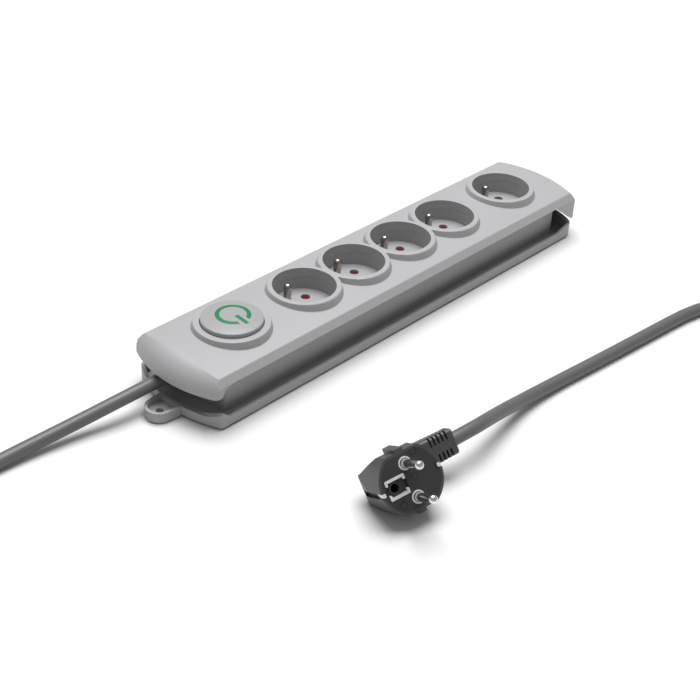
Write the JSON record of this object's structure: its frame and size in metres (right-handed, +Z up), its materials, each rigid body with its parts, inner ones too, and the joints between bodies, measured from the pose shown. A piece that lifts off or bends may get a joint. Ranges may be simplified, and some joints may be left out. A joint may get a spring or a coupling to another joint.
{
  "type": "power strip",
  "caption": "Household power strip with a row of round earthed sockets, one large push button, a cord-winding channel, end ears and a lead with an angled round plug.",
  "frame": {"origin": "on the table under the middle of the strip, its free cord left out", "axes": "+X along the strip from the cord's end to the far end, +Z up; the side with the button's bar faces -Y"},
  "size_m": [0.5682, 0.3772, 0.0444],
  "materials": {
    "cover_grey": "light grey moulded plastic, fine texture",
    "tray_grey": "light grey moulded plastic",
    "foot_rubber": "dark rubber",
    "screw_steel": "zinc-plated steel",
    "white_nylon": "natural nylon",
    "contact_brass": "bare brass",
    "shutter_red": "red moulded plastic",
    "spring_steel": "spring steel wire",
    "pin_steel": "nickel-plated brass, bright",
    "button_grey": "light grey moulded plastic",
    "symbol_green": "green moulded inlay",
    "switch_black": "black moulded plastic",
    "cord_grey": "dark grey flexible PVC sheath",
    "wire_brown": "brown wire insulation",
    "wire_blue": "blue wire insulation",
    "wire_green_yellow": "green and yellow wire insulation",
    "tie_black": "black hook-and-loop strap",
    "plug_grey": "dark grey moulded PVC",
    "plug_face_grey": "darker grey moulded plastic"
  },
  "bodies": {
    "strip": {"top_cover": "cover_grey", "base_tray": "tray_grey", "rubber_feet": "foot_rubber", "cover_screws": "screw_steel", "contact_carrier": "white_nylon", "live_busbar": "contact_brass", "neutral_busbar": "contact_brass", "earth_busbar": "contact_brass", "socket_cup_1": "cover_grey", "shutter_spring_1": "spring_steel", "earth_pin_1": "pin_steel", "socket_cup_2": "cover_grey", "shutter_spring_2": "spring_steel", "earth_pin_2": "pin_steel", "socket_cup_3": "cover_grey", "shutter_spring_3": "spring_steel", "earth_pin_3": "pin_steel", "socket_cup_4": "cover_grey", "shutter_spring_4": "spring_steel", "earth_pin_4": "pin_steel", "socket_cup_5": "cover_grey", "shutter_spring_5": "spring_steel", "earth_pin_5": "pin_steel", "button_spring": "spring_steel", "switch_body": "switch_black", "switch_terminals": "contact_brass", "cord_gland": "cord_grey", "cord_clamp": "white_nylon", "clamp_screws": "screw_steel", "live_wires": "wire_brown", "neutral_wires": "wire_blue", "earth_wire": "wire_green_yellow", "cord_inner": "cord_grey", "cord_near": "cord_grey", "cord_coil": "cord_grey", "cord_far": "cord_grey", "cord_tie": "tie_black", "plug_body": "plug_grey", "plug_face": "plug_face_grey", "plug_boot": "plug_grey", "plug_pins": "pin_steel", "plug_pin_collars": "pin_steel", "plug_earth_sleeve": "contact_brass", "plug_earth_clips": "pin_steel"},
    "push_button": {"power_button": "button_grey", "power_symbol": "symbol_green"},
    "shutter_1_body": {"shutter_1": "shutter_red"},
    "shutter_2_body": {"shutter_2": "shutter_red"},
    "shutter_3_body": {"shutter_3": "shutter_red"},
    "shutter_4_body": {"shutter_4": "shutter_red"},
    "shutter_5_body": {"shutter_5": "shutter_red"}
  },
  "joints": [
    {"name": "power_button_press", "type": "slide", "parent": "strip", "child": "push_button", "axis": [0, 0, 1], "range_m": [-0.003, 0], "stiffness_N_per_m": 600, "springref_m": 0.002, "deforming": ["button_spring"]},
    {"name": "shutter_1_slide", "type": "slide", "parent": "strip", "child": "shutter_1_body", "axis": [0.6157, -0.788, 0], "range_m": [0, 0.006], "stiffness_N_per_m": 60, "springref_m": -0.003, "deforming": ["shutter_spring_1"]},
    {"name": "shutter_2_slide", "type": "slide", "parent": "strip", "child": "shutter_2_body", "axis": [0.6157, -0.788, 0], "range_m": [0, 0.006], "stiffness_N_per_m": 60, "springref_m": -0.003, "deforming": ["shutter_spring_2"]},
    {"name": "shutter_3_slide", "type": "slide", "parent": "strip", "child": "shutter_3_body", "axis": [0.6157, -0.788, 0], "range_m": [0, 0.006], "stiffness_N_per_m": 60, "springref_m": -0.003, "deforming": ["shutter_spring_3"]},
    {"name": "shutter_4_slide", "type": "slide", "parent": "strip", "child": "shutter_4_body", "axis": [0.6157, -0.788, 0], "range_m": [0, 0.006], "stiffness_N_per_m": 60, "springref_m": -0.003, "deforming": ["shutter_spring_4"]},
    {"name": "shutter_5_slide", "type": "slide", "parent": "strip", "child": "shutter_5_body", "axis": [0.6157, -0.788, 0], "range_m": [0, 0.006], "stiffness_N_per_m": 60, "springref_m": -0.003, "deforming": ["shutter_spring_5"]}
  ]
}
